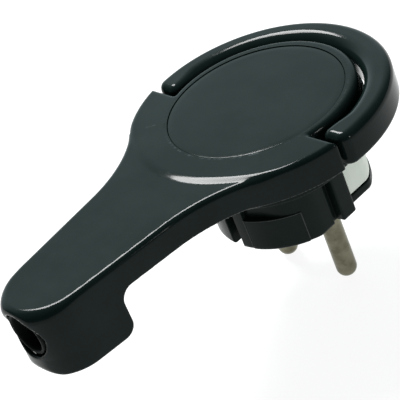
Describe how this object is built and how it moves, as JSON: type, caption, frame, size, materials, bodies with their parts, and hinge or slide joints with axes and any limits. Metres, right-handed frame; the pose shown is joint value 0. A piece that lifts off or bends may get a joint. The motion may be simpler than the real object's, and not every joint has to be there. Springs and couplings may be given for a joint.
{
  "type": "mains plug",
  "caption": "Flat right-angle earthed mains plug: round body with two round pins, an arm with a side cord entry, and a crescent bail that folds up to pull it out.",
  "frame": {"origin": "centre of the engagement face, the flat face that meets the socket, midway between the two pins", "axes": "+Z away from the socket, towards the raised round top; the arm and the cord entry along -Y; the two contact pins on the X axis, pointing to -Z"},
  "size_m": [0.0594, 0.1038, 0.047],
  "materials": {
    "casing": "gloss black moulded plastic",
    "body": "satin black moulded plastic",
    "carrier": "light grey moulded plastic",
    "nickel": "dull nickel plating",
    "steel": "zinc plated",
    "rubber": "matt black"
  },
  "bodies": {
    "plug": {"top_cover": "casing", "cover_disc": "casing", "arm_floor": "casing", "base_housing": "body", "face_plate": "body", "contact_carrier": "carrier", "contact_pin_left": "nickel", "contact_pin_right": "nickel", "earth_bridge": "nickel", "entry_bush": "rubber", "hinge_pin_left": "steel", "hinge_pin_right": "steel", "terminal_clamp_left": "steel", "terminal_clamp_right": "steel", "terminal_screw_left": "steel", "terminal_screw_right": "steel", "earth_clamp": "steel", "earth_screw": "steel", "cord_clamp": "steel", "cord_clamp_screw_1": "steel", "cord_clamp_screw_2": "steel", "housing_screw_1": "steel", "housing_screw_2": "steel", "housing_screw_3": "steel", "housing_screw_4": "steel", "floor_screw_1": "steel", "carrier_screw_1": "steel", "carrier_screw_2": "steel", "face_screw_1": "steel", "face_screw_2": "steel"},
    "bail": {"pull_bail": "casing"}
  },
  "joints": [
    {"name": "bail_hinge", "type": "hinge", "parent": "plug", "child": "bail", "pos_m": [0, -0.0013, 0.0237], "axis": [1, 0, 0], "range_deg": [0, 95]}
  ]
}
